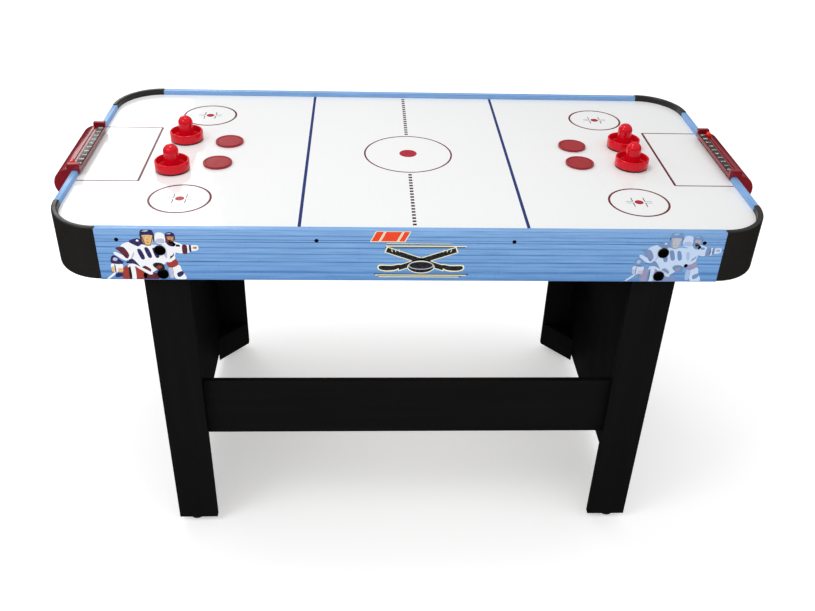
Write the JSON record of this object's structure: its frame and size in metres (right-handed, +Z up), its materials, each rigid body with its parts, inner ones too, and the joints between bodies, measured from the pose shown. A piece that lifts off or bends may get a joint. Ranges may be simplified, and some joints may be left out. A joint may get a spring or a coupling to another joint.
{
  "type": "air hockey table",
  "caption": "Floor-standing air hockey table: white field with low blue rails, black corner caps and board legs, red goal boxes with score counters, pushers and pucks.",
  "frame": {"origin": "on the floor, under the middle of the table", "axes": "+X along the table to its right-hand goal, +Y to the rear long side, +Z up"},
  "size_m": [1.297, 0.645, 0.7256],
  "materials": {
    "field": "glossy white laminate with printed hockey markings",
    "hardboard": "bare brown hardboard and battens",
    "blue_apron": "boards wrapped in satin light-blue streaked foil",
    "black_cap": "moulded black plastic, satin",
    "black_leg": "boards with black satin laminate",
    "goal_red": "glossy dark red moulded plastic",
    "score_strip": "black strip with printed white numbers",
    "slider_red": "bright red plastic",
    "pusher_red": "glossy bright red plastic",
    "puck_red": "matt red plastic, finely textured",
    "felt": "black felt",
    "foot_black": "black plastic",
    "bolt_black": "blackened steel",
    "fan_grey": "dark grey plastic",
    "motor_steel": "plain steel"
  },
  "bodies": {
    "table": {"apron_front": "blue_apron", "apron_left": "blue_apron", "apron_rear": "blue_apron", "apron_right": "blue_apron", "blower_guard": "fan_grey", "blower_housing": "fan_grey", "blower_motor": "motor_steel", "bottom_panel": "hardboard", "chamber_frame": "hardboard", "corner_block_left_front": "black_leg", "corner_block_left_rear": "black_leg", "corner_block_right_front": "black_leg", "corner_block_right_rear": "black_leg", "corner_cap_left_front": "black_cap", "corner_cap_left_rear": "black_cap", "corner_cap_right_front": "black_cap", "corner_cap_right_rear": "black_cap", "end_panel_left": "black_leg", "end_panel_right": "black_leg", "goal_housing_left": "goal_red", "goal_housing_right": "goal_red", "leg_board_left_front": "black_leg", "leg_board_left_rear": "black_leg", "leg_board_right_front": "black_leg", "leg_board_right_rear": "black_leg", "leg_bolt_left_front_lower": "bolt_black", "leg_bolt_left_front_upper": "bolt_black", "leg_bolt_left_rear_lower": "bolt_black", "leg_bolt_left_rear_upper": "bolt_black", "leg_bolt_right_front_lower": "bolt_black", "leg_bolt_right_front_upper": "bolt_black", "leg_bolt_right_rear_lower": "bolt_black", "leg_bolt_right_rear_upper": "bolt_black", "playfield": "field", "power_inlet": "foot_black", "score_strip_left": "score_strip", "score_strip_right": "score_strip", "stretcher_front": "black_leg", "stretcher_rear": "black_leg", "switch_bezel": "foot_black"},
    "slider_left": {"score_slider_left": "slider_red"},
    "slider_right": {"score_slider_right": "slider_red"},
    "foot_left_front": {"levelling_foot_left_front": "foot_black"},
    "foot_left_rear": {"levelling_foot_left_rear": "foot_black"},
    "foot_right_front": {"levelling_foot_right_front": "foot_black"},
    "foot_right_rear": {"levelling_foot_right_rear": "foot_black"},
    "pusher_left_near": {"pusher_left_near": "pusher_red", "pusher_felt_left_near": "felt"},
    "pusher_left_far": {"pusher_left_far": "pusher_red", "pusher_felt_left_far": "felt"},
    "pusher_right_near": {"pusher_right_near": "pusher_red", "pusher_felt_right_near": "felt"},
    "pusher_right_far": {"pusher_right_far": "pusher_red", "pusher_felt_right_far": "felt"},
    "puck_left_near": {"puck_left_near": "puck_red"},
    "puck_left_far": {"puck_left_far": "puck_red"},
    "puck_right_near": {"puck_right_near": "puck_red"},
    "puck_right_far": {"puck_right_far": "puck_red"},
    "fan_rotor": {"blower_impeller": "fan_grey"},
    "rocker": {"switch_rocker": "slider_red"}
  },
  "joints": [
    {"name": "score_slide_left", "type": "slide", "parent": "table", "child": "slider_left", "axis": [0, 1, 0], "range_m": [0, 0.164]},
    {"name": "score_slide_right", "type": "slide", "parent": "table", "child": "slider_right", "axis": [0, -1, 0], "range_m": [0, 0.164]},
    {"name": "foot_level_left_front", "type": "slide", "parent": "table", "child": "foot_left_front", "axis": [0, 0, -1], "range_m": [0, 0.01]},
    {"name": "foot_level_left_rear", "type": "slide", "parent": "table", "child": "foot_left_rear", "axis": [0, 0, -1], "range_m": [0, 0.01]},
    {"name": "foot_level_right_front", "type": "slide", "parent": "table", "child": "foot_right_front", "axis": [0, 0, -1], "range_m": [0, 0.01]},
    {"name": "foot_level_right_rear", "type": "slide", "parent": "table", "child": "foot_right_rear", "axis": [0, 0, -1], "range_m": [0, 0.01]},
    {"name": "pusher_slide_left_near", "type": "slide", "parent": "table", "child": "pusher_left_near", "axis": [0, -1, 0], "range_m": [-0.012, 0.2]},
    {"name": "pusher_slide_left_far", "type": "slide", "parent": "table", "child": "pusher_left_far", "axis": [0, 1, 0], "range_m": [-0.012, 0.208]},
    {"name": "pusher_slide_right_near", "type": "slide", "parent": "table", "child": "pusher_right_near", "axis": [0, -1, 0], "range_m": [-0.012, 0.234]},
    {"name": "pusher_slide_right_far", "type": "slide", "parent": "table", "child": "pusher_right_far", "axis": [0, 1, 0], "range_m": [-0.012, 0.221]},
    {"name": "puck_slide_left_near", "type": "slide", "parent": "table", "child": "puck_left_near", "axis": [1, 0, 0], "range_m": [0, 0.329]},
    {"name": "puck_slide_left_far", "type": "slide", "parent": "table", "child": "puck_left_far", "axis": [1, 0, 0], "range_m": [0, 0.319]},
    {"name": "puck_slide_right_near", "type": "slide", "parent": "table", "child": "puck_right_near", "axis": [-1, 0, 0], "range_m": [0, 0.3]},
    {"name": "puck_slide_right_far", "type": "slide", "parent": "table", "child": "puck_right_far", "axis": [-1, 0, 0], "range_m": [0, 0.3]},
    {"name": "fan_spin", "type": "hinge", "parent": "table", "child": "fan_rotor", "pos_m": [0, 0, 0.6405], "axis": [0, 0, 1], "continuous": true},
    {"name": "switch_rock", "type": "hinge", "parent": "table", "child": "rocker", "pos_m": [0.25, 0.318, 0.631], "axis": [0, 0, 1], "range_deg": [-14, 0]}
  ]
}
